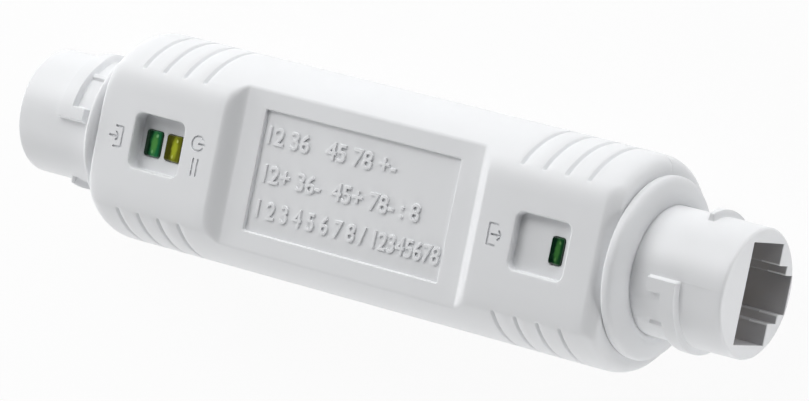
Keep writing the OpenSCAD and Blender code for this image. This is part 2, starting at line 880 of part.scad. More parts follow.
module input_capacitor() color("silver") round_part(-can_x, can_y, can_side, can_foot, can_d, can_h);
module output_capacitor() color("silver") round_part(can_x, can_y, can_side, can_foot, can_d, can_h);

module bridge(x) {
    color("black")
        translate([0, 0, axis_z])
            under_board() chip_body(x, bridge_y, [bridge_len, bridge_w, bridge_h]);
}

module in_bridge() bridge(-can_x);
module out_bridge() bridge(can_x);

// Lead of a flat chip: foot on the board, riser, and shoulder at the chip's side, pointing along +X
module chip_lead(w, rise) {
    riser_x = lead_reach / 2;
    span([0, -w / 2, rise - lead_t], [riser_x + lead_t, w / 2, rise]);
    span([riser_x, -w / 2, 0], [riser_x + lead_t, w / 2, rise]);
    span([riser_x, -w / 2, 0], [lead_reach, w / 2, lead_t]);
}

// Leads spread evenly along the side, side_len long and half away, that faces the direction turn
module lead_row(x, y, turn, half, side_len, leads) {
    pitch = side_len / (leads[0] + 1);
    translate([x, y, 0])
        rotate([0, 0, turn])
            for (k = [0 : leads[0] - 1])
                translate([half + seat, (k - (leads[0] - 1) / 2) * pitch, 0])
                    chip_lead(leads[1], leads[2]);
}

module component_leads() {
    color("silver")
        translate([0, 0, axis_z]) {
            translate([0, 0, on_top]) {
                for (turn = [0 : 90 : 270])
                    lead_row(0, 0, turn, switch_side / 2, switch_side, switch_leads);
                for (x = [-transformer_x, transformer_x], turn = [90, 270])
                    lead_row(x, 0, turn, transformer_w / 2, transformer_len, transformer_leads);
            }
            under_board() {
                for (turn = [90, 270])
                    lead_row(0, power_chip_y, turn, power_chip_w / 2, power_chip_len, power_chip_leads);
                for (x = [-can_x, can_x], turn = [0, 180])
                    lead_row(x, bridge_y, turn, bridge_len / 2, bridge_w, bridge_leads);
            }
        }
}

// Two rows of small parts along one edge of the board, one at each end of it
module chip_rows(side, count, pitch, size) {
    reach = screw_x - post_r - part_gap - size.x / 2;
    for (end = [-1, 1], k = [0 : count - 1])
        slab(end * (reach - k * pitch), side * (board_w / 2 - edge_gap - size.y / 2), on_top, size);
}

module chip_resistors() {
    color("black")
        translate([0, 0, axis_z]) chip_rows(-1, resistor_count, resistor_pitch, resistor);
}

module chip_capacitors() {
    color("tan")
        translate([0, 0, axis_z]) chip_rows(1, ceramic_count, ceramic_pitch, ceramic);
}

// ---------- lamps ----------

module lamp(k, tint) {
    x = lamps[k][0];
    len = lamps[k][1];
    face = lamps[k][2] + lamp_proud;
    color(tint)
        translate([0, 0, axis_z])
            rounded_slab(x, 0, face - lamp_h, [len, lamp_w, lamp_h], lamp_corner);
}

module in_link_lamp() lamp(0, "green");
module in_power_lamp() lamp(1, "yellow");
module out_link_lamp() lamp(2, "green");

module lamp_leads() {
    color("silver")
        translate([0, 0, axis_z])
            for (lamp = lamps, side = [-1, 1])
                slab(lamp[0], side * lead_y, board_bottom - tail_out,
                     [lead_side, lead_side, lamp[2] + lamp_proud - lamp_h - seat - board_bottom + tail_out]);
}

// Block that keeps a group of lamps at its height above the board
module lamp_holder(from, to) {
    x0 = lamps[from][0];
    x1 = lamps[to][0];
    len = lamps[from][1];
    top = lamps[from][2] + lamp_proud - lamp_h - seat;
    color("black")
        translate([0, 0, axis_z])
            difference() {
                span([x0 - len / 2, -lamp_w / 2, on_top], [x1 + len / 2, lamp_w / 2, top]);
                for (k = [from : to], side = [-1, 1])
                    translate([lamps[k][0], side * lead_y, on_top - over])
                        cylinder(r = pin_hole(lead_side), h = top - on_top + 2 * over, $fn = small);
            }
}

module in_lamp_holder() lamp_holder(0, 1);
module out_lamp_holder() lamp_holder(2, 2);

front_shell();
back_shell();
seam_gasket();
case_screws();
in_socket();
out_socket();
in_seal_ring();
out_seal_ring();
in_neck_seal();
out_neck_seal();
in_jack_core();
out_jack_core();
in_contact_tails();
out_contact_tails();
in_contacts();
out_contacts();
main_board();
in_transformer();
out_transformer();
switch_chip();
crystal();
power_chip();
power_inductor();
input_capacitor();
output_capacitor();
in_bridge();
out_bridge();
chip_resistors();
chip_capacitors();
component_leads();
in_link_lamp();
in_power_lamp();
out_link_lamp();
lamp_leads();
in_lamp_holder();
out_lamp_holder();
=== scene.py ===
import json
import math
import bmesh
import bpy
import numpy as np
from mathutils import Matrix, Vector


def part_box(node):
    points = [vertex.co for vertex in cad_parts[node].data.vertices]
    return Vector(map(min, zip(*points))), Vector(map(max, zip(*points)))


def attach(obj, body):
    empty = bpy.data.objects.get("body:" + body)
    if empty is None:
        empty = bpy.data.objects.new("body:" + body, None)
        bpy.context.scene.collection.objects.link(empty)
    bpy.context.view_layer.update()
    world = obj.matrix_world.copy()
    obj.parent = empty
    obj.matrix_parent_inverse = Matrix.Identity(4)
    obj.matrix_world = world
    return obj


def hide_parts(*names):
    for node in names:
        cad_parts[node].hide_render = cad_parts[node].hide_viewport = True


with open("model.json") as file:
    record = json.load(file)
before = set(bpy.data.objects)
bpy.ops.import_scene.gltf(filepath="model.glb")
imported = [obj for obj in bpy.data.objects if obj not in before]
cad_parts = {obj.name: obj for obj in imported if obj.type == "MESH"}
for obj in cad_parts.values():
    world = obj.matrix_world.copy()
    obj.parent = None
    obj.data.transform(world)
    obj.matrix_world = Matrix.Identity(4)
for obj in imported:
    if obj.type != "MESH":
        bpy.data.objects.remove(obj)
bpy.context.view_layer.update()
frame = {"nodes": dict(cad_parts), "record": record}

# Shapes are drawn in millimetres about the case's axis; settle() puts them into the row frame in metres.
# +X runs to the output port, +Z is the label side, and angles about X are counted from +Z towards +Y.
mm = 0.001
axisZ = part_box("back_shell")[1].z
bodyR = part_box("back_shell")[1].y / mm
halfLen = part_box("back_shell")[1].x / mm
backPad = axisZ / mm
frontPad = (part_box("front_shell")[1].z - axisZ) / mm
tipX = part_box("out_socket")[1].x / mm
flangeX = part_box("out_socket")[0].x / mm
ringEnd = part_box("out_seal_ring")[1].x / mm
weldGap = 0.0005  # points of one piece that are closer than this become one


# Small tools for numbers

def ease(t):
    t = np.clip(t, 0, 1)
    return t * t * (3 - 2 * t)


def smoothMin(a, b, width):
    share = np.clip(0.5 + 0.5 * (b - a) / width, 0, 1)
    return b + (a - b) * share - width * share * (1 - share)


# How far a rounded corner has dropped, 0 to 1; a power above 2 squares it
def quarter(t, power=2):
    t = np.clip(t, 0, 1)
    return 1 - (1 - t ** power) ** (1 / power)


def stations(*spans):
    every = np.concatenate([np.linspace(*span) for span in spans])
    return np.unique(np.round(every, 4))


def bothSides(half):
    return np.unique(np.round(np.concatenate([-half, half]), 4))


# Smooth curve through a few points, with steps between each two
def curveThrough(points, steps=6):
    p = np.array(points, float)
    p = np.concatenate([[2 * p[0] - p[1]], p, [2 * p[-1] - p[-2]]])
    made = []
    for i in range(1, len(p) - 2):
        for t in np.arange(steps) / steps:
            a, b, c, d = p[i - 1:i + 3]
            made.append(0.5 * (2 * b + (c - a) * t + (2 * a - 5 * b + 4 * c - d) * t ** 2
                               + (3 * b - a - 3 * c + d) * t ** 3))
    return made + [p[-2]]


# Small tools for meshes

def addObject(name, data):
    made = bpy.data.objects.new(name, data)
    bpy.context.scene.collection.objects.link(made)
    return made


# Welds points that are closer than a distance, where one is given, and turns every face outwards
def cleanMesh(piece, weld=0):
    work = bmesh.new()
    work.from_mesh(piece.data)
    if weld:
        bmesh.ops.remove_doubles(work, verts=work.verts, dist=weld)
        bmesh.ops.dissolve_degenerate(work, edges=work.edges, dist=weld)
    bmesh.ops.recalc_face_normals(work, faces=work.faces)
    work.to_mesh(piece.data)
    work.free()


def newPiece(name, points, faces):
    mesh = bpy.data.meshes.new(name)
    mesh.from_pydata(np.asarray(points, float).reshape(-1, 3).tolist(), [], faces)
    piece = addObject(name, mesh)
    cleanMesh(piece)
    return piece


def meshOf(shape):
    view = bpy.context.evaluated_depsgraph_get()
    return bpy.data.meshes.new_from_object(shape.evaluated_get(view))


def carve(piece, tool, operation="DIFFERENCE"):
    cut = piece.modifiers.new("cut", "BOOLEAN")
    cut.object = tool
    cut.operation = operation
    cut.solver = "EXACT"
    mesh = meshOf(piece)
    piece.modifiers.clear()
    piece.data = mesh
    bpy.data.objects.remove(tool)


def joinPieces(name, pieces):
    work = bmesh.new()
    for piece in pieces:
        work.from_mesh(piece.data)
        bpy.data.objects.remove(piece)
    mesh = bpy.data.meshes.new(name)
    work.to_mesh(mesh)
    work.free()
    return addObject(name, mesh)


def settle(piece, body, replaced=(), sharp=32, halfTurn=False):
    cleanMesh(piece, weldGap)
    turn = Matrix.Rotation(math.pi if halfTurn else 0, 4, "Z")
    piece.data.transform(Matrix.Translation((0, 0, axisZ)) @ turn @ Matrix.Scale(mm, 4))
    piece.data.shade_smooth()
    piece.data.set_sharp_from_angle(angle=math.radians(sharp))
    level = piece.modifiers.new("level", "WEIGHTED_NORMAL")
    level.keep_sharp = True
    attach(piece, body)
    if replaced:
        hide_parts(*replaced)


def gridFaces(rows, columns, closed=False):
    faces = []
    for i in range(rows - 1):
        for j in range(columns if closed else columns - 1):
            k = (j + 1) % columns
            a, b = i * columns, (i + 1) * columns
            faces.append((a + j, a + k, b + k, b + j))
    return faces


# Closed solid through a row of outlines with the same number of points, capped at both ends
def loft(name, outlines):
    count = len(outlines[0])
    faces = gridFaces(len(outlines), count, closed=True)
    faces.append(tuple(range(count)))
    faces.append(tuple(range((len(outlines) - 1) * count, len(outlines) * count)))
    return newPiece(name, np.concatenate(outlines), faces)


# Solid turned about X from a closed profile of [x, radius]
def turnedSolid(name, profile, columns=192):
    angles = np.linspace(0, 2 * np.pi, columns, endpoint=False)
    x, r = np.array(profile, float).T
    points = np.stack([np.repeat(x[:, None], columns, 1), r[:, None] * np.sin(angles),
                       r[:, None] * np.cos(angles)], 2)
    faces = gridFaces(len(profile), columns, closed=True)
    last = (len(profile) - 1) * columns
    faces += [(last + j, last + (j + 1) % columns, (j + 1) % columns, j) for j in range(columns)]
    return newPiece(name, points, faces)


# Rectangle with round corners about x and y, at a height, grown by some amount all round
def roundedOutline(x, y, lenX, lenY, corner, grow, z, steps=8):
    halfX, halfY, r = lenX / 2 + grow, lenY / 2 + grow, max(corner + grow, 0.02)
    points = []
    for k, (sx, sy) in enumerate([(1, 1), (-1, 1), (-1, -1), (1, -1)]):
        for a in np.linspace(k * 90, k * 90 + 90, steps):
            points.append((x + sx * (halfX - r) + r * math.cos(math.radians(a)),
                           y + sy * (halfY - r) + r * math.sin(math.radians(a)), z))
    return np.array(points)


# Rows [height, growth] of a pocket with a round inner edge at its floor and a rounded rim at its top
def pocketRows(floor, top, inner, rim):
    rows = [(floor + inner * (1 - math.cos(a)), -inner * (1 - math.sin(a)))
            for a in np.radians([0, 22.5, 45, 67.5, 90])]
    rows += [(top - rim * (1 - math.sin(a)), rim * (1 - math.cos(a)))
             for a in np.radians([0, 20, 40, 60, 78])]
    rows.append((top + rim * 0.2, rim * 1.83))
    return rows


def pocket(name, x, y, lenX, lenY, corner, floor, top, inner, rim):
    rows = pocketRows(floor, top, inner, rim)
    return loft(name, [roundedOutline(x, y, lenX, lenY, corner, grow, z) for z, grow in rows])


def prism(x, y, lenX, lenY, corner, low, high):
    return loft("prism", [roundedOutline(x, y, lenX, lenY, corner, 0, z) for z in (low, high)])


# Materials

# One output socket; sums and products on it add Math nodes
class Wire:
    def __init__(self, wiring, socket):
        self.wiring = wiring
        self.socket = socket

    def output(self, name):
        return Wire(self.wiring, self.socket.node.outputs[name])

    def maths(self, operation, first, second):
        return self.wiring.node("ShaderNodeMath", {"operation": operation}, {0: first, 1: second})

    def __add__(self, other):
        return self.maths("ADD", self, other)

    def __radd__(self, other):
        return self.maths("ADD", other, self)

    def __sub__(self, other):
        return self.maths("SUBTRACT", self, other)

    def __rsub__(self, other):
        return self.maths("SUBTRACT", other, self)

    def __mul__(self, other):
        return self.maths("MULTIPLY", self, other)

    def __rmul__(self, other):
        return self.maths("MULTIPLY", other, self)

    def __truediv__(self, other):
        return self.maths("DIVIDE", self, other)

    def __rtruediv__(self, other):
        return self.maths("DIVIDE", other, self)

    def __pow__(self, other):
        return self.maths("POWER", self, other)

    def __rpow__(self, other):
        return self.maths("POWER", other, self)


# The nodes of one material or world
class Wiring:
    def __init__(self, tree):
        self.tree = tree

    def plug(self, socket, value):
        if isinstance(value, Wire):
            self.tree.links.new(value.socket, socket)
        else:
            socket.default_value = value

    def node(self, kind, settings=None, sockets=None, output=0):
        made = self.tree.nodes.new(kind)
        for key, value in (settings or {}).items():
            setattr(made, key, value)
        for key, value in (sockets or {}).items():
            self.plug(made.inputs[key], value)
        return Wire(self, made.outputs[output])


class Finish(Wiring):
    def __init__(self, name, color, roughness, **constants):
        self.material = bpy.data.materials.new(name)
        self.material.use_nodes = True
        super().__init__(self.material.node_tree)
        self.shader = self.tree.nodes["Principled BSDF"]
        self.feed("Base Color", (*color, 1))
        self.feed("Roughness", roughness)
        for socket, value in constants.items():
            self.feed(socket.replace("_", " "), value)

    def feed(self, name, value):
        self.plug(self.shader.inputs[name], value)

    def place(self):
        return self.node("ShaderNodeTexCoord", output="Object")

    def noise(self, scale, detail=2, roughness=0.5):
        return self.node("ShaderNodeTexNoise", None, {"Vector": self.place(), "Scale": scale,
                                                      "Detail": detail, "Roughness": roughness}, "Fac")

    def mixColor(self, share, first, second):
        return self.node("ShaderNodeMix", {"data_type": "RGBA"},
                         {0: share, 6: first, 7: second}, 2)

    def clamped(self, value, low, high, toLow=0.0, toHigh=1.0):
        return self.node("ShaderNodeMapRange", {"clamp": True},
                         {0: value, 1: low, 2: high, 3: toLow, 4: toHigh})

    # Noise lies mostly between 0.3 and 0.7; this spreads it over two values
    def spread(self, noise, low, high):
        return self.clamped(noise, 0.3, 0.7, low, high)

    def bump(self, height, distance, strength=1.0):
        self.feed("Normal", self.node("ShaderNodeBump", None, {"Height": height, "Distance": distance,
                                                                "Strength": strength}))


# A colour made darker or lighter, with its alpha
def shade(color, factor):
    return tuple(min(c * factor, 1) for c in color) + (1,)


# Moulded plastic: spark-eroded grain, faint flow clouds and slightly uneven gloss
plasticLook = {"grainSize": 0.22, "grainHeight": 0.006, "cloudSize": 9, "cloudDepth": 0.02,
               "glossSpread": 0.08}


def mouldedPlastic(name, color, roughness, look=plasticLook):
    made = Finish(name, color, roughness, IOR=1.5)
    cloud = made.noise(1000 / look["cloudSize"], 3)
    grain = made.noise(1000 / look["grainSize"], 3, 0.6)
    depth, spread = look["cloudDepth"], look["glossSpread"] / 2
    made.feed("Base Color", made.mixColor(cloud, shade(color, 1 - depth), shade(color, 1 + depth)))
    made.feed("Roughness", made.spread(grain * 0.5 + cloud * 0.5, roughness - spread, roughness + spread))
    made.bump(grain, look["grainHeight"] * mm)
    return made.material


# Rubber and silicone: finer grain and a soft sheen. Scales are counted per metre
rubberLook = {"cloudScale": 160, "grainScale": 7000, "grainHeight": 0.003, "cloudDepth": 0.03,
              "glossSpread": 0.1}


def softRubber(name, color, roughness, look=rubberLook, **translucent):
    made = Finish(name, color, roughness, IOR=1.42, **translucent)
    cloud = made.noise(look["cloudScale"], 2)
    grain = made.noise(look["grainScale"], 2)
    depth, spread = look["cloudDepth"], look["glossSpread"] / 2
    made.feed("Base Color", made.mixColor(cloud, shade(color, 1 - depth), shade(color, 1 + depth)))
    made.feed("Roughness", made.spread(cloud, roughness - spread, roughness + spread))
    made.bump(grain, look["grainHeight"] * mm)
    return made.material


# Metal: plated, drawn or rolled, with fine scratches; a number for each axis says how close they lie
metalLook = {"scratchScale": 900, "scratchHeight": 0.0015, "cloudScale": 400, "darkest": 0.9,
             "lightest": 1.05, "smoother": 0.08, "rougher": 0.1}


def workedMetal(name, color, roughness, scratch=(1, 1, 30), look=metalLook):
    made = Finish(name, color, roughness, Metallic=1.0)
    stretched = made.node("ShaderNodeVectorMath", {"operation": "MULTIPLY"},
                          {0: made.place(), 1: scratch})
    lines = made.node("ShaderNodeTexNoise", None,
                      {"Vector": stretched, "Scale": look["scratchScale"], "Detail": 3}, "Fac")
    cloud = made.noise(look["cloudScale"], 2)
    made.feed("Base Color", made.mixColor(cloud, shade(color, look["darkest"]),
                                          shade(color, look["lightest"])))
    made.feed("Roughness", made.spread(lines, roughness - look["smoother"], roughness + look["rougher"]))
    made.bump(lines, look["scratchHeight"] * mm)
    return made.material


# Bare board: green solder resist over glass weave and copper tracks
boardLook = {"weaveScale": 900, "weaveGap": 0.03, "trackScale": 700, "bare": 0.8, "overCopper": 1.5,
             "roughness": (0.36, 0.26), "trackShare": 0.8, "height": 0.01}


def solderResist(name, color, look=boardLook):
    made = Finish(name, color, look["roughness"][0], IOR=1.52)
    weave = made.node("ShaderNodeTexBrick", {"offset": 0.5},
                      {"Vector": made.place(), "Scale": look["weaveScale"],
                       "Mortar Size": look["weaveGap"]}, "Fac")
    track = made.clamped(made.noise(look["trackScale"], 1), 0.49, 0.51)
    share = look["trackShare"]
    made.feed("Base Color", made.mixColor(track, shade(color, look["bare"]),
                                          shade(color, look["overCopper"])))
    made.feed("Roughness", made.clamped(track, 0, 1, *look["roughness"]))
    made.bump(track * share + weave * (1 - share), look["height"] * mm)
    return made.material


# Lamp lens: tinted resin with painted shade on one side, where the hole's wall shades it, and towards its
# far rim; lighter about the die and wire in its middle, partly their own colour and partly painted light;
# small painted highlights. Places are shares of the lens's half sides
lensPaintedLight = {
    "rippleScale": 1500, "ripple": 0.25, "edgeRipple": 0.6, "roughness": (0.1, 0.22), "bump": 0.02,
    "paintedShadeSide": (-0.35, 0.05),                # where the painted shade on one side ends
    # painted shade towards the far rim
    "shadedRim": {"span": (0.72, 0.95), "share": 0.7},
    # the die and wire: partly their own lighter colour, partly painted light they catch
    "glow": {"x": 0.2, "y": 0, "halfX": 0.46, "halfY": 1.0},
    "paintedGlints": [  # painted highlights, sizes in millimetres
        {"x": 0.4, "y": 0.62, "wide": 0.2, "long": 0.26, "share": 0.6},
        {"x": 0.1, "y": -0.6, "wide": 0.16, "long": 0.3, "share": 0.45},
    ],
}


def tintedLens(name, look, centre, halfX, halfY):
    form = lensPaintedLight
    made = Finish(name, look["dark"], form["roughness"][0], IOR=1.5)
    dark, middle, bright, paintedGlint = [(*look[tone], 1) for tone in ("dark", "middle", "bright", "paintedGlint")]
    place = made.node("ShaderNodeSeparateXYZ", None, {0: made.place()})
    ripple = made.noise(form["rippleScale"], 2) - 0.5
    x = (place - centre[0] * mm) / mm + ripple * form["ripple"]
    y = (place.output("Y") - centre[1] * mm) / mm + ripple * form["ripple"]

    def spot(atX, atY, wide, long):
        return made.clamped(((x - atX) / wide) ** 2 + ((y - atY) / long) ** 2, 1, 0.15)

    # painted shade: dark on the side below the hole's wall, mid tone beyond
    side = made.clamped(x + ripple * form["edgeRipple"], *[halfX * at for at in form["paintedShadeSide"]])
    color = made.mixColor(side, dark, middle)
    # lighter about the die and wire: their own colour with painted light on it
    glow = form["glow"]
    color = made.mixColor(spot(halfX * glow["x"], halfY * glow["y"], halfX * glow["halfX"],
                               halfY * glow["halfY"]), color, bright)
    # painted shade darkens the lens towards its far rim
    rim = form["shadedRim"]
    shaded = made.clamped(x, *[halfX * at for at in rim["span"]]) * rim["share"]
    color = made.mixColor(shaded, color, dark)
    # painted glints: small light spots mixed into the lens colour
    for point in form["paintedGlints"]:
        lit = spot(halfX * point["x"], halfY * point["y"], point["wide"], point["long"]) * point["share"]
        color = made.mixColor(lit, color, paintedGlint)
    made.feed("Base Color", color)
    made.feed("Roughness", made.clamped(ripple, -0.2, 0.2, *form["roughness"]))
    made.bump(ripple, form["bump"] * mm)
    return made.material


white = (0.80, 0.81, 0.825)
finishes = {  # one for each slot of the record but the lamps', and one for the walls inside the ports, whose darker grey is painted shade
    "case_plastic": mouldedPlastic("case_plastic", white, 0.48),
    "socket_plastic": mouldedPlastic("socket_plastic", white, 0.42),
    # painted shade: a darker grey copy of the socket plastic for the walls inside the ports
    "port_painted_shade": mouldedPlastic("port_painted_shade", (0.56, 0.56, 0.58), 0.45),
    "ring_silicone": softRubber("ring_silicone", (0.78, 0.79, 0.805), 0.5, Subsurface_Weight=0.5,
                                Subsurface_Radius=(1, 1, 1), Subsurface_Scale=0.7 * mm),
    "gasket_rubber": softRubber("gasket_rubber", (0.03, 0.03, 0.032), 0.6),
    "screw_steel": workedMetal("screw_steel", (0.62, 0.62, 0.63), 0.32),
    "jack_plastic": mouldedPlastic("jack_plastic", (0.55, 0.555, 0.56), 0.5),
    "contact_gold": workedMetal("contact_gold", (0.86, 0.62, 0.24), 0.22, (20, 1, 20)),
    "board": solderResist("board", (0.02, 0.12, 0.05)),
    "chip_black": mouldedPlastic("chip_black", (0.02, 0.02, 0.022), 0.55),
    "crystal_can": workedMetal("crystal_can", (0.7, 0.7, 0.72), 0.28),
    "ferrite": softRubber("ferrite", (0.05, 0.05, 0.055), 0.7),
    "can_aluminium": workedMetal("can_aluminium", (0.8, 0.8, 0.82), 0.3),
    "resistor_black": mouldedPlastic("resistor_black", (0.025, 0.025, 0.028), 0.35),
    "ceramic": mouldedPlastic("ceramic", (0.42, 0.3, 0.18), 0.4),
    "lead_tin": workedMetal("lead_tin", (0.72, 0.72, 0.72), 0.3),
    "holder_black": mouldedPlastic("holder_black", (0.025, 0.025, 0.025), 0.5),
}
print("materials made:", len(finishes))


def paint(piece, material):
    slots = piece.data.materials
    if not slots:
        slots.append(material)
    for index in range(len(slots)):
        slots[index] = material


# Case shells: a round barrel with a flat pad at each end of its front and back

caseForm = {
    "waistStep": 1.65, "waistHalf": 17.2, "coveLen": 2.3,      # waist between the pads
    "endLen": 3.0, "endDepth": 2.4, "endPower": 3.1,           # rounding at the ends
    "outPad": {"len": 1.5, "slope": 0.8, "soft": 0.35, "round": 0.3},  # the pads slope down at this end
    "inPad": {"len": 0.42, "depth": 0.27},
    "padBlend": 1.3, "waistBlend": 0.3,                        # softness of the pads' and the waist's edges
    "wall": 2.2, "endWall": 3.0, "innerTuck": 0.5, "neckR": 7.85, "seamEdge": 0.1,
    "grooveX": 23.28, "groovePitch": 3.125, "grooves": 4,      # grip grooves
    "grooveHalf": 0.38, "grooveDepth": 0.45, "grooveGap": 3.6, "grooveFade": 2.0,
}


def caseStations():
    roundSteps = 1 - np.sin(np.radians(np.arange(0, 91, 6)))
    waistEnd, coveEnd = caseForm["waistHalf"], caseForm["waistHalf"] + caseForm["coveLen"]
    roundStart = halfLen - caseForm["endLen"]
    parts = [stations((0, waistEnd, 9), (waistEnd, coveEnd, 17), (coveEnd, roundStart, 12)),
             halfLen - caseForm["endLen"] * roundSteps,
             halfLen - caseForm["inPad"]["len"] * roundSteps,
             halfLen - caseForm["outPad"]["len"] - np.linspace(-0.6, 0.6, 9)]
    for k in range(caseForm["grooves"]):
        middle = caseForm["grooveX"] + k * caseForm["groovePitch"]
        parts.append(middle + caseForm["grooveHalf"] * np.linspace(-1, 1, 11))
    half = np.unique(np.round(np.concatenate(parts), 3))
    keep = np.concatenate([[True], np.diff(half) > 0.012])  # drops stations that almost coincide
    keep[-1] = True
    return bothSides(half[keep])


# Height of a flat above the axis: the waist between the pads, and each pad's own end
def flatHeight(x, pad):
    rise = caseForm["waistStep"] * (ease((abs(x) - caseForm["waistHalf"]) / caseForm["coveLen"]) - 1)
    toEnd = abs(x) - halfLen
    outEnd, inEnd = caseForm["outPad"], caseForm["inPad"]
    outDrop = (outEnd["round"] * quarter(toEnd / outEnd["round"] + 1)
               - smoothMin(0, -(toEnd + outEnd["len"]) * outEnd["slope"], outEnd["soft"]))
    inDrop = inEnd["depth"] * quarter(toEnd / inEnd["len"] + 1)
    return pad + rise - np.where(x > 0, outDrop, inDrop)


# Radius of the case at x, at an angle counted from the middle of its flat
def caseRadius(x, angle, pad):
    toEnd = (abs(x) - halfLen) / caseForm["endLen"] + 1
    barrel = bodyR - caseForm["endDepth"] * quarter(toEnd, caseForm["endPower"])
    flat = flatHeight(x, pad) / np.maximum(np.cos(angle), 0.1)
    blend = caseForm["waistBlend"] + (caseForm["padBlend"] - caseForm["waistBlend"]) * ease(
        (abs(x) - caseForm["waistHalf"]) / caseForm["coveLen"])
    radius = smoothMin(barrel, flat, blend)
    first = math.degrees(math.acos(pad / bodyR)) + caseForm["grooveGap"]
    fade = ease((np.degrees(abs(angle)) - first) / caseForm["grooveFade"])
    for k in range(caseForm["grooves"]):
        off = abs(abs(x) - caseForm["grooveX"] - k * caseForm["groovePitch"]) / caseForm["grooveHalf"]
        radius = radius - caseForm["grooveDepth"] * fade * (1 - ease(off))
    return radius


def innerRadius(x, angle, pad):
    flat = (flatHeight(x, pad) - caseForm["wall"]) / np.maximum(np.cos(angle), 0.1)
    return smoothMin(np.full_like(flat, bodyR - caseForm["wall"]), flat, 0.3)


# Half of the case as one closed skin: outside, end wall about the neck, inside, the other end wall, and
# the two seam faces. The inside follows the outside's stations, drawn in at the end walls
def halfShell(name, pad, middle, angles):
    xs = caseStations()
    angles = np.radians(angles)
    x, angle = np.meshgrid(xs, angles, indexing="ij")
    outer = caseRadius(x, angle, pad)
    outer[:, [0, -1]] -= caseForm["seamEdge"]
    innerEnd = halfLen - caseForm["endWall"]
    bend = innerEnd - caseForm["innerTuck"]
    stretch = caseForm["innerTuck"] / (halfLen - bend)
    innerX = np.where(abs(x) < bend, x, np.sign(x) * (bend + (abs(x) - bend) * stretch))
    inner = innerRadius(innerX, angle, pad)
    neck = np.full(len(angles), caseForm["neckR"])

    def section(atX, radius):
        at = np.full(len(angles), atX) if np.isscalar(atX) else atX
        return np.stack([at, radius * np.sin(angles + middle), radius * np.cos(angles + middle)], 1)

    rows = [section(xs[i], outer[i]) for i in range(len(xs))]
    rows += [section(halfLen, neck), section(innerEnd, neck)]
    rows += [section(innerX[i], inner[i]) for i in reversed(range(len(xs)))]
    rows += [section(-innerEnd, neck), section(-halfLen, neck)]
    count, columns = len(xs), len(angles)
    rows.append(rows[0])
    faces = gridFaces(len(rows), columns)
    for j in (0, columns - 1):
        at = [i * columns + j for i in range(len(rows) - 1)]
        for i in range(count - 1):
            faces.append((at[i], at[i + 1], at[2 * count - i], at[2 * count + 1 - i]))
        faces.append(tuple(at[count - 1:count + 3]))
        faces.append((at[0], at[2 * count + 1], at[2 * count + 2], at[2 * count + 3]))
    shell = newPiece(name, np.concatenate(rows), faces)
    cleanMesh(shell, 1e-5)
    return shell


# Angles from the middle of each half's flat, closest about the flat's edges
frontAngles = bothSides(stations((0, 28, 6), (28, 36, 9), (36, 46, 19), (46, 51.5, 20), (51.5, 62, 8),
                                 (62, 89.5, 16), (89.5, 90, 2)))
backAngles = bothSides(stations((0, 20, 5), (20, 27, 8), (27, 40, 22), (40, 46, 20), (46, 58, 9),
                                (58, 89.5, 18), (89.5, 90, 2)))
frontShell = halfShell("frontShell", frontPad, 0, frontAngles)
backShell = halfShell("backShell", backPad, math.pi, backAngles)
print("shells made:", len(frontShell.data.vertices), "and", len(backShell.data.vertices), "points")

# Windows over the lamps, and the label panel. Each has an inner edge at its floor and a rounded rim; the
# shell is thickened under a window, all round and below its floor
windows = {"x": 28.2, "lenX": 7.6, "lenY": 6.9, "corner": 1.0,
           "floorWall": 1.2, "sideWall": 1.2, "wallTop": 1.1,
           "in": {"side": -1, "depth": 2.05, "inner": 0.12, "edge": 0.14},
           "out": {"side": 1, "depth": 1.1, "inner": 0.18, "edge": 0.2}}
panel = {"lenX": 28.7, "lenY": 14.9, "depth": 0.5, "corner": 0.25, "edge": 0.12, "inner": 0.1}
waistTop = frontPad - caseForm["waistStep"]

lens = {"corner": 0.32, "bevel": 0.14, "gap": 0.03, "wider": 0.2, "aside": -0.1}
lensHole = [(-2.5, 0), (-0.08, 0), (-0.02, 0.02), (0.03, 0.09)]  # height above the floor, growth
lamps = {"in_link_lamp": {"side": -1}, "in_power_lamp": {"side": -1}, "out_link_lamp": {"side": 1}}
for name, lamp in lamps.items():
    low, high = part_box(name)
    lamp.update(x=(low.x + high.x) / 2 / mm, lenX=(high.x - low.x) / mm,
                lenY=(high.y - low.y) / mm + lens["wider"],
                top=high.z / mm - axisZ / mm, foot=(low.z - axisZ) / mm)

for which in ("in", "out"):
    own = windows[which]
    x, floor = own["side"] * windows["x"], frontPad - own["depth"]
    lenX, lenY, corner, wall = (windows[part] for part in ("lenX", "lenY", "corner", "sideWall"))
    carve(frontShell, prism(x, 0, lenX + 2 * wall, lenY + 2 * wall, corner,
                            floor - windows["floorWall"], frontPad - windows["wallTop"]), "UNION")
    carve(frontShell, pocket("window", x, 0, lenX, lenY, corner, floor, frontPad,
                             own["inner"], own["edge"]))
    for lamp in lamps.values():
        if lamp["side"] == own["side"]:
            carve(frontShell, loft("lampHole", [
                roundedOutline(lamp["x"], lens["aside"], lamp["lenX"], lamp["lenY"], lens["corner"],
                               lens["gap"] + grow, floor + z, 3) for z, grow in lensHole]))
carve(frontShell, pocket("panel", 0, 0, panel["lenX"], panel["lenY"], panel["corner"],
                         waistTop - panel["depth"], waistTop, panel["inner"], panel["edge"]))
print("windows and panel cut:", len(frontShell.data.vertices), "points")


# Engraved signs beside the windows: an arrow in, a power sign, an arrow out

signs = {
    "width": 0.27, "depth": 0.22,
    "arrow": {"len": 1.9, "head": 0.5, "boxHalf": 1.25, "boxDepth": 1.1, "inset": 0.45, "shaftGap": 0.15},
    "power": {"r": 0.88, "opening": 35, "bar": (0.15, 1.0)},
    "mains": {"x": 0.45, "dashX": -0.25, "low": -3.9, "high": -1.9, "dash": 0.5, "pitch": 0.75},
    "in": (-34.45, -0.15), "on": (-22.1, 1.45), "out": (22.0, 0.0),  # where the three signs stand
}


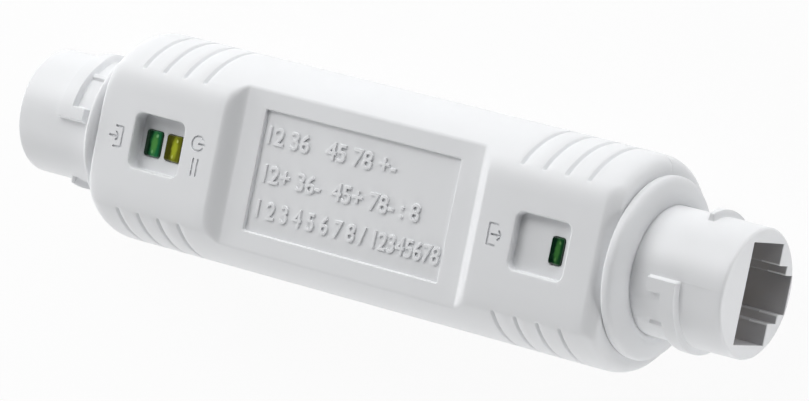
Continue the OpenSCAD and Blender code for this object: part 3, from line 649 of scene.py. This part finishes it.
# One stroke along some points, with round ends
def strokeSolid(points, width, low, high):
    points = np.array(points, float)
    along = np.gradient(points, axis=0)
    along /= np.linalg.norm(along, axis=1)[:, None]
    across = np.stack([-along[:, 1], along[:, 0]], 1) * width / 2
    outline = list(points + across)
    for end, way in ((-1, 1), (0, -1)):
        a, n = along[end] * way, across[end] * way
        outline += [points[end] + n * math.cos(t) + a * width / 2 * math.sin(t)
                    for t in np.radians([36, 72, 108, 144])]
        if way == 1:
            outline += list((points - across)[::-1])
    flat = np.array(outline)
    return loft("stroke", [np.column_stack([flat, np.full(len(flat), z)]) for z in (low, high)])


def arcPoints(cx, cy, r, start, stop, count=20):
    turn = np.radians(np.linspace(start, stop, count))
    return np.column_stack([cx + r * np.cos(turn), cy + r * np.sin(turn)])


# An arrow along +X through the open side of a box; the box stands before or behind it
def arrowSign(x, y, boxAhead):
    form = signs["arrow"]
    half, head, spread = form["len"] / 2, form["head"], form["boxHalf"]
    tip = x + half - (form["inset"] if boxAhead else 0)
    tail = x - half + (0 if boxAhead else form["inset"])
    wall = x + half if boxAhead else x - half
    back = wall - form["boxDepth"] if boxAhead else wall + form["boxDepth"]
    return [[(tail, y), (tip - form["shaftGap"], y)],
            [(tip - head, y + head), (tip, y)], [(tip - head, y - head), (tip, y)],
            [(wall, y - spread), (wall, y + spread)],
            [(wall, y + spread), (back, y + spread)], [(wall, y - spread), (back, y - spread)]]


# An open ring with a bar, and below it a full line beside a dashed one
def powerSign(x, y):
    power, mains = signs["power"], signs["mains"]
    line, dashes = x + mains["x"], x + mains["dashX"]
    made = [arcPoints(x, y, power["r"], power["opening"], 360 - power["opening"], 28),
            [(x + along, y) for along in power["bar"]],
            [(line, y + mains["low"]), (line, y + mains["high"])]]
    for k in range(3):
        low = y + mains["low"] + mains["pitch"] * k
        made.append([(dashes, low), (dashes, low + mains["dash"])])
    return made


strokes = arrowSign(*signs["in"], True) + powerSign(*signs["on"]) + arrowSign(*signs["out"], False)
for stroke in strokes:
    carve(frontShell, strokeSolid(stroke, signs["width"], frontPad - signs["depth"], frontPad + 0.3))
print("signs engraved:", len(strokes), "strokes")

# Raised legend on the panel: pin numbers and polarity. Each row has its left end, baseline and length
legend = {"rows": [("12 36   45 78 +-", -13.6, 3.45, 19.0), ("12+ 36-  45+ 78- : 8", -13.2, -1.15, 23.1),
                   ("1 2 3 4 5 6 7 8 / 12345678", -13.2, -5.45, 27.0)],
          "size": 3.0, "height": 0.22, "edge": 0.05}


def legendRow(text, left, baseline, length, floor):
    curve = bpy.data.curves.new("row", "FONT")
    curve.body = text
    curve.size = legend["size"]
    curve.extrude = legend["height"] - legend["edge"]
    curve.bevel_depth = legend["edge"]
    curve.bevel_resolution = 2
    row = addObject("row", curve)
    mesh = meshOf(row)
    bpy.data.objects.remove(row)
    xs = [vertex.co.x for vertex in mesh.vertices]
    squeeze = length / (max(xs) - min(xs))
    print("legend row squeezed by", round(squeeze, 3))
    mesh.transform(Matrix.Translation((left - min(xs) * squeeze, baseline, floor))
                   @ Matrix.Diagonal((squeeze, 1, 1, 1)))
    return addObject("row", mesh)


labelLegend = joinPieces("labelLegend", [legendRow(*row, waistTop - panel["depth"])
                                         for row in legend["rows"]])
settle(labelLegend, "case", sharp=40)
paint(labelLegend, finishes["case_plastic"])
settle(frontShell, "case", ["front_shell"])
paint(frontShell, finishes["case_plastic"])
print("legend raised")


# Screws, and their holes in the back shell

screws = {
    "headR": 1.65, "headH": 1.2, "seat": 3.0, "shankR": 0.95, "pointR": 0.35, "pointLen": 0.6,
    "dome": [(0.55, 0), (0.85, 0.1), (0.97, 0.3), (1, 0.55)],      # share of the head's radius, height
    "cross": {"depth": 0.75, "corner": 0.08,                       # each arm's size at its mouth and floor
              "arms": [((2.1, 0.5), (0.945, 0.35)), ((0.5, 2.1), (0.225, 0.945))]},
    "holeMouth": [(2.1, -0.2), (1.95, 0), (1.75, 0.15)], "holeR": 1.75,
}
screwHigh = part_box("case_screws")[1]
screwX = screwHigh.x / mm - screws["headR"]
screwY = screwHigh.y / mm - screws["headR"]
shankEnd = (screwHigh.z - axisZ) / mm
headBottom = -backPad + screws["seat"] - screws["headH"]


def discOutline(x, y, r, z, count=48):
    turn = np.linspace(0, 2 * np.pi, count, endpoint=False)
    return np.column_stack([x + r * np.cos(turn), y + r * np.sin(turn), np.full(count, z)])


def screwAt(x, y):
    headR, seat = screws["headR"], headBottom + screws["headH"]
    profile = [(headR * share, headBottom + up) for share, up in screws["dome"]]
    profile += [(headR, seat - 0.05), (screws["shankR"], seat - 0.03),
                (screws["shankR"], shankEnd - screws["pointLen"]), (screws["pointR"], shankEnd)]
    screw = loft("screw", [discOutline(x, y, r, z) for r, z in profile])
    cross = screws["cross"]
    for mouth, bottom in cross["arms"]:
        carve(screw, loft("cross", [
            roundedOutline(x, y, *mouth, cross["corner"], 0, headBottom - 0.2),
            roundedOutline(x, y, *bottom, cross["corner"], 0, headBottom + cross["depth"])]))
    return screw


corners = [(sx * screwX, sy * screwY) for sx in (-1, 1) for sy in (-1, 1)]
for x, y in corners:
    hole = screws["holeMouth"] + [(screws["holeR"], screws["seat"])]
    carve(backShell, loft("hole", [discOutline(x, y, r, up - backPad) for r, up in hole]))
caseScrews = joinPieces("caseScrews", [screwAt(x, y) for x, y in corners])
settle(caseScrews, "case", ["case_screws"])
paint(caseScrews, finishes["screw_steel"])
settle(backShell, "case", ["back_shell"])
paint(backShell, finishes["case_plastic"])
print("back shell and screws made")


# Sockets: collar, bayonet ribs, flange and the plug's cavity in one moulding

socket = {  # arcs in degrees; each rib starts at the seam with a cross bar and tapers to its far end
    "noseR": 7.8, "neckR": 7.75, "tipRound": 0.35, "lugH": 0.8, "lugW": 2.4, "lugArc": 114,
    "taperArc": 54, "lugEndW": 1.0, "lugFromTip": {"out": 5.6, "in": 6.4},
    "barLen": 4.3, "barArc": 14.5, "detentAt": 47, "detentH": 0.35, "detentLen": 2.0, "detentHalf": 4.0,
    "flangeR": 9.6, "flangeFlat": 7.95, "flangeT": 1.5, "flangeEdge": 0.1, "edge": 0.3,
    "parting": {"out": 0.03, "in": 0},
}
port = {
    "w": 11.95, "h": 6.77, "top": 2.97, "depth": 13.3, "flare": 0.12,
    "latchW": 6.8, "latchH": 1.85, "leverW": 4.6, "leverH": 1.5, "cornerR": 0.22,
    "leverKept": 0.7,                   # how much less the lowest step grows at the mouth than the rest
    "coreW": 8.8, "coreLow": 1.97, "coreTop": 5.42, "lip": 2.9,
    "rim": 0.12, "paintedHighlightDepth": 2.5,      # where the painted shade on the walls starts, and the painted highlight on the step corners ends
}


# 1 between two places, falling to 0 within an edge's width at each
def rise(value, low, high, edge):
    return np.minimum(ease((value - low) / edge), ease((high - value) / edge))


# How far the rib's body-side edge moves toward its front edge, at an angle in degrees
def ribTaper(off):
    lugR = socket["noseR"] + socket["lugH"]
    high = lugR * math.cos(math.radians(socket["lugArc"] - socket["taperArc"]))
    low = lugR * math.cos(math.radians(socket["lugArc"]))
    onRib = np.clip((high - lugR * np.cos(np.radians(off))) / (high - low), 0, 1)
    pastRib = np.clip((off + 180) / (180 - socket["lugArc"]), 0, 1)
    along = np.where(off > -socket["lugArc"], onRib, pastRib)
    return (socket["lugW"] - socket["lugEndW"]) * along


# Angle back from the start of the nearer rib
def ribAngle(side):
    return (side % 180) - 180


def collarRadius(x, side, front, parting):
    slope = np.clip((x - ringEnd) / (front - ringEnd), 0, 1)
    base = socket["neckR"] + (socket["noseR"] - socket["neckR"]) * slope
    base = base - socket["tipRound"] * quarter((x - tipX + socket["tipRound"]) / socket["tipRound"])
    base = base - parting * (side > 180.5) * (side < 359.5) * (x > ringEnd)
    edge = socket["edge"]
    across = math.degrees(edge / socket["noseR"])
    off = ribAngle(side)
    back = front - socket["lugW"] + ribTaper(off)
    lift = 0
    for turn in (0, 180):
        at = off + turn
        rib = rise(x, back, front, edge) * rise(at, -socket["lugArc"], 0, across)
        bar = rise(x, front - socket["barLen"], front, edge) * rise(at, -socket["barArc"], 0, across)
        detentAngle = rise(at + socket["detentAt"], -socket["detentHalf"], socket["detentHalf"], across)
        detent = rise(x, front - socket["lugW"] - socket["detentLen"], front, edge / 2) * detentAngle
        lift = np.maximum(lift, socket["lugH"] * np.maximum(rib, bar))
        lift = np.maximum(lift, socket["detentH"] * detent)
    return base + lift


# Places that crowd towards one end of a rounded edge
def edgeCluster(at, edge, count=8):
    return at + edge * (1 - np.sin(np.radians(np.linspace(0, 90, count))))


# Stations along the collar; those about the rib's back edge follow its slant
def collarStations(front, side):
    edge, tipRound = socket["edge"], socket["tipRound"]
    back = front - socket["lugW"]
    detentBack = back - socket["detentLen"]
    xs = [stations((flangeX + socket["flangeT"], ringEnd, 4), (ringEnd, detentBack, 2)),
          edgeCluster(detentBack, edge / 2, 5), edgeCluster(front - socket["barLen"], edge),
          edgeCluster(back, edge), edgeCluster(front, -edge),
          stations((back - 1.2, back - 0.02, 4), (back + edge, front - edge, 8)),
          stations((front + 0.01, tipX - tipRound, 8)),
          tipX - tipRound * (1 - np.sin(np.radians(np.arange(0, 91, 15))))]
    xs = np.unique(np.round(np.concatenate(xs), 3))
    xs = xs[np.concatenate([[True], np.diff(xs) > 0.008])]
    joinLen = 0.6  # the slant fades in over this length behind the rib, and fades out across it
    follow = np.minimum(np.clip((xs - back + joinLen) / joinLen, 0, 1),
                        np.clip((front - edge - xs) / (socket["lugW"] - 2 * edge), 0, 1))
    return xs[:, None] + follow[:, None] * ribTaper(ribAngle(side))[None, :]


def collarAngles():
    turn = math.degrees(socket["edge"] / socket["noseR"])
    angles = [np.arange(0, 360, 2.5), np.array([180.4, 180.6, 359.4, 359.6])]
    for half in (0, 180):
        for at, way in ((0, -1), (-socket["barArc"], 1), (-socket["lugArc"], 1)):
            angles.append(half + edgeCluster(at, way * turn))
        for way in (-1, 1):
            angles.append(half - socket["detentAt"] + way * (socket["detentHalf"] - edgeCluster(0, turn)))
    angles = np.unique(np.round(np.concatenate(angles) % 360, 3))
    return angles[np.concatenate([[True], np.diff(angles) > 0.1])]


def collarSolid(name, front, parting):
    side = collarAngles()
    x = collarStations(front, side)
    angles = np.radians(side)
    radius = collarRadius(x, np.broadcast_to(side, x.shape), front, parting)
    flat = np.minimum(socket["flangeR"], socket["flangeFlat"] / np.maximum(abs(np.cos(angles)), 0.1))
    edge, flangeEnd = socket["flangeEdge"], flangeX + socket["flangeT"]
    rows = [(np.full(len(side), at), r) for at, r in (
        (flangeX, flat - edge), (flangeX + edge, flat), (flangeEnd - edge, flat),
        (flangeEnd - 0.001, flat - edge))]
    rows += list(zip(x, radius))
    return loft(name, [np.column_stack([atX, r * np.sin(angles), r * np.cos(angles)]) for atX, r in rows])


# Section of the plug's cavity: three steps down from the contact side, the steps' own corners rounded
def portOutline(x, grow):
    a, b, c = port["w"] / 2 + grow, port["latchW"] / 2 + grow, port["leverW"] / 2 + grow
    top = port["top"] + grow
    first = port["top"] - port["h"] - grow
    second = first - port["latchH"]
    third = second - port["leverH"] + port["leverKept"] * grow
    r = port["cornerR"]
    turn = np.radians([0, 30, 60, 90])
    right = [(a, top), (a, first)]
    for y, z, below in ((b, first, second), (c, second, third)):
        right += [(y + r * (1 - math.sin(t)), z - r * (1 - math.cos(t))) for t in turn]
        right.append((y, below))
    left = [(-y, z) for y, z in reversed(right)]
    return np.array([(x, y, z) for y, z in right + left])


def boxSolid(low, high):
    (x0, y0, z0), (x1, y1, z1) = low, high
    outline = [(y0, z0), (y1, z0), (y1, z1), (y0, z1)]
    return loft("box", [np.array([(x, y, z) for y, z in outline]) for x in (x0, x1)])


def makeSocket(name, node, which):
    made = collarSolid(name, tipX - socket["lugFromTip"][which], socket["parting"][which])
    flare = port["flare"]
    rows = [(tipX - port[part], 0) for part in ("depth", "paintedHighlightDepth", "rim")]
    rows += [(tipX - flare * (1 - math.sin(a)), flare * (1 - math.cos(a)))
             for a in np.radians([0, 25, 50, 75])]
    rows.append((tipX + 0.2, 1.6 * flare))
    carve(made, loft("mouth", [portOutline(x, grow) for x, grow in rows]))
    halfCore, halfWidth = port["coreW"] / 2, port["w"] / 2 - 0.001
    carve(made, boxSolid((flangeX - 1, -halfCore, port["coreLow"]),
                         (tipX - port["lip"], halfCore, port["coreTop"])))
    carve(made, boxSolid((flangeX - 1, -halfWidth, port["top"] - port["h"]),
                         (tipX - port["depth"] + 1, halfWidth, port["top"] - 0.001)))
    settle(made, "case", [node], halfTurn=which == "in")
    paint(made, finishes["socket_plastic"])
    paintPortShade(made)


# Painted shade: past the mouth's rim the cavity's own walls get a darker grey copy of the plastic, standing
# in for the shade inside the port; the steps' corners keep the collar's white plastic a little way in, as a
# painted highlight
def paintPortShade(made):
    made.data.materials.append(finishes["port_painted_shade"])
    halfR = port["cornerR"] / 2
    side, top = port["w"] / 2 + 0.02, port["top"] + 0.02
    first = port["top"] - port["h"]
    second = first - port["latchH"]
    bottom = second - port["leverH"] - 0.02
    corners = [(port["latchW"] / 2 + halfR, first - halfR), (port["leverW"] / 2 + halfR, second - halfR)]
    for face in made.data.polygons:
        middle = face.center / mm
        x, y, z = abs(middle.x), abs(middle.y), middle.z - axisZ / mm
        inside = y < side and bottom < z < top and math.hypot(y, z) < socket["neckR"] - 0.15
        if inside and tipX - port["depth"] + 0.5 < x < tipX - port["rim"]:
            nearest = min(max(abs(y - cornerY), abs(z - cornerZ)) for cornerY, cornerZ in corners)
            # painted highlight: near the mouth the step corners keep the white collar plastic
            paintedHighlight = x > tipX - port["paintedHighlightDepth"] and nearest < halfR + 0.03
            face.material_index = 0 if paintedHighlight else 1


makeSocket("outSocket", "out_socket", "out")
makeSocket("inSocket", "in_socket", "in")
print("sockets made")


# Sealing rings on the collars

ring = {  # [distance from the case's end, radius] along the outside, from the case to the collar
    "bore": 7.74,
    "back": {"out": [(0.02, 10.6), (0.09, 10.82), (0.3, 10.92), (0.8, 10.95), (1.05, 10.88)],
             "in": [(0.02, 9.92), (0.25, 10.26), (0.55, 10.57), (0.85, 10.77), (1.1, 10.82)]},
    "outside": [(1.3, 10.68), (1.5, 10.42), (1.68, 10.1), (1.86, 9.7), (2.02, 9.3), (2.12, 8.95),
                (2.16, 8.65), (2.15, 8.4), (2.1, 8.15), (2.04, 7.95), (2.0, 7.85), (1.97, 7.75)],
}


def makeRing(name, node, which):
    outside = curveThrough([(halfLen + x, r) for x, r in ring["back"][which] + ring["outside"]], 5)
    made = turnedSolid(name, [(halfLen + 0.02, ring["bore"])] + outside, 240)
    settle(made, "case", [node], sharp=60, halfTurn=which == "in")
    paint(made, finishes["ring_silicone"])


makeRing("outSealRing", "out_seal_ring", "out")
makeRing("inSealRing", "in_seal_ring", "in")
print("sealing rings made")


# Lamp lenses

# Lens tones: dark is the resin in painted shade, bright the die's lighter tone with painted light on it,
# and the last one the colour of the painted glints
lensLook = {
    "in_link_lamp": {"dark": (0.003, 0.032, 0.01), "middle": (0.016, 0.16, 0.06),
                     "bright": (0.10, 0.35, 0.08), "paintedGlint": (0.35, 0.72, 0.35)},
    "in_power_lamp": {"dark": (0.07, 0.07, 0.006), "middle": (0.16, 0.17, 0.012),
                      "bright": (0.43, 0.48, 0.035), "paintedGlint": (0.82, 0.88, 0.28)},
    "out_link_lamp": {"dark": (0.002, 0.018, 0.007), "middle": (0.009, 0.06, 0.018),
                      "bright": (0.045, 0.17, 0.038), "paintedGlint": (0.16, 0.34, 0.12)},
}


def makeLens(node, lamp):
    bend = lens["bevel"]
    rows = [(lamp["foot"], 0), (lamp["top"] - 2 * bend, 0), (lamp["top"] - bend, -0.03),
            (lamp["top"] - bend / 3, -bend * 0.6), (lamp["top"], -2 * bend)]
    end, use, _ = node.split("_")
    made = loft(end + use.title() + "Lens", [
        roundedOutline(lamp["x"], lens["aside"], lamp["lenX"], lamp["lenY"], lens["corner"], grow, z, 3)
        for z, grow in rows])
    settle(made, "case", [node], sharp=25)
    paint(made, tintedLens(node + "_resin", lensLook[node], (lamp["x"], lens["aside"]), lamp["lenX"] / 2,
                           lamp["lenY"] / 2))


for node, lamp in lamps.items():
    makeLens(node, lamp)
print("lenses made")


# The CAD pieces that stay as they are get their finish

slotOf = {entry["node"]: entry["material_slot"] for entry in frame["record"]["subparts"]}
for name, node in frame["nodes"].items():
    if not node.hide_render:
        paint(node, finishes[slotOf[name]])
print("CAD pieces painted")


# Stage, lights and camera. Lamps' places and sizes are in metres, the camera's in millimetres

studio = {
    "floor": {"size": 12, "drop": 0.02, "color": (0.86, 0.86, 0.86), "whiteShare": 0.93},  # drop in mm
    "world": (0.97, 0.985, 1.0), "worldStrength": 0.01,
    "lampFar": 0.75, "lampSize": 0.45,
    "lamps": {  # azimuth from +X, elevation in degrees, power
        "key": (135, 40, 2.45),
        "top": (90, 40, 1.38),
        "corner": (225, 40, 0.96),
        "rimTop": (90, 12, 1.35),
        "rimRight": (45, 12, 1.35),
        "fillLeft": (180, 12, 2.27),
        "fillLow": (270, 12, 2.65),
    },
    "nearLamp": {"place": (0.16, -0.04, 0.02), "aim": (0.052, 0, 0.011), "size": 0.05, "power": 0.048},
    "camera": {"aim": (1.381, 0.01, -0.915), "toCamera": (0.54998, 0.08729, 0.83061),
               "up": (-0.21288, 0.97641, 0.03832), "distance": 592.96, "lens": 220.35},
}


def makeFloor():
    form = studio["floor"]
    bpy.ops.mesh.primitive_plane_add(size=form["size"], location=(0, 0, -form["drop"] * mm))
    floor = bpy.context.active_object
    floor.name = "studioFloor"
    made = Finish("studioPaper", form["color"], 0.9)
    seen = made.node("ShaderNodeLightPath", output="Is Camera Ray")
    share = (seen + seen.output("Is Glossy Ray") + seen.output("Is Transmission Ray")) * form["whiteShare"]
    made.feed("Roughness", made.spread(made.noise(60, 2), 0.85, 0.95))
    glow = made.node("ShaderNodeEmission", None, {"Color": (1, 1, 1, 1), "Strength": 1.0})
    mixed = made.node("ShaderNodeMixShader", None,
                      {0: share, 1: Wire(made, made.shader.outputs[0]), 2: glow})
    made.plug(made.tree.nodes["Material Output"].inputs["Surface"], mixed)
    paint(floor, made.material)


def makeWorld():
    world = bpy.data.worlds.new("studioWorld")
    bpy.context.scene.world = world
    world.use_nodes = True
    sky = Wiring(world.node_tree)
    dim = sky.tree.nodes["Background"]
    sky.plug(dim.inputs["Color"], (*studio["world"], 1))
    sky.plug(dim.inputs["Strength"], studio["worldStrength"])
    bright = sky.node("ShaderNodeBackground", None, {"Color": (1, 1, 1, 1), "Strength": 1.0})
    seen = sky.node("ShaderNodeLightPath", output="Is Camera Ray")
    mixed = sky.node("ShaderNodeMixShader", None, {0: seen, 1: Wire(sky, dim.outputs[0]), 2: bright})
    sky.plug(sky.tree.nodes["World Output"].inputs["Surface"], mixed)


def makeLamp(name, place, aim, size, power):
    data = bpy.data.lights.new(name, "AREA")
    data.shape = "DISK"
    data.size = size
    data.energy = power
    lamp = addObject(name, data)
    lamp.location = place
    lamp.rotation_euler = (aim - place).to_track_quat("-Z", "Y").to_euler()


def makeLights():
    middle = Vector((0, 0, axisZ))
    for name, (azimuth, elevation, power) in studio["lamps"].items():
        turn, tilt = math.radians(azimuth), math.radians(elevation)
        away = Vector((math.cos(tilt) * math.cos(turn), math.cos(tilt) * math.sin(turn), math.sin(tilt)))
        makeLamp(name, middle + away * studio["lampFar"], middle, studio["lampSize"], power)
    near = studio["nearLamp"]
    makeLamp("nearLamp", Vector(near["place"]), Vector(near["aim"]), near["size"], near["power"])


def makeCamera():
    spec = studio["camera"]
    back = Vector(spec["toCamera"]).normalized()
    right = Vector(spec["up"]).cross(back).normalized()
    up = back.cross(right)
    place = Vector(spec["aim"]) * mm + Vector((0, 0, axisZ)) + back * spec["distance"] * mm
    data = bpy.data.cameras.new("camera")
    data.lens = spec["lens"]
    data.clip_start = 0.01
    camera = addObject("camera", data)
    turn = Matrix((right, up, back)).transposed()
    camera.matrix_world = Matrix.Translation(place) @ turn.to_4x4()
    bpy.context.scene.camera = camera


makeFloor()
makeWorld()
makeLights()
makeCamera()
bpy.context.scene.view_settings.view_transform = "Standard"
print("stage, lights and camera set")
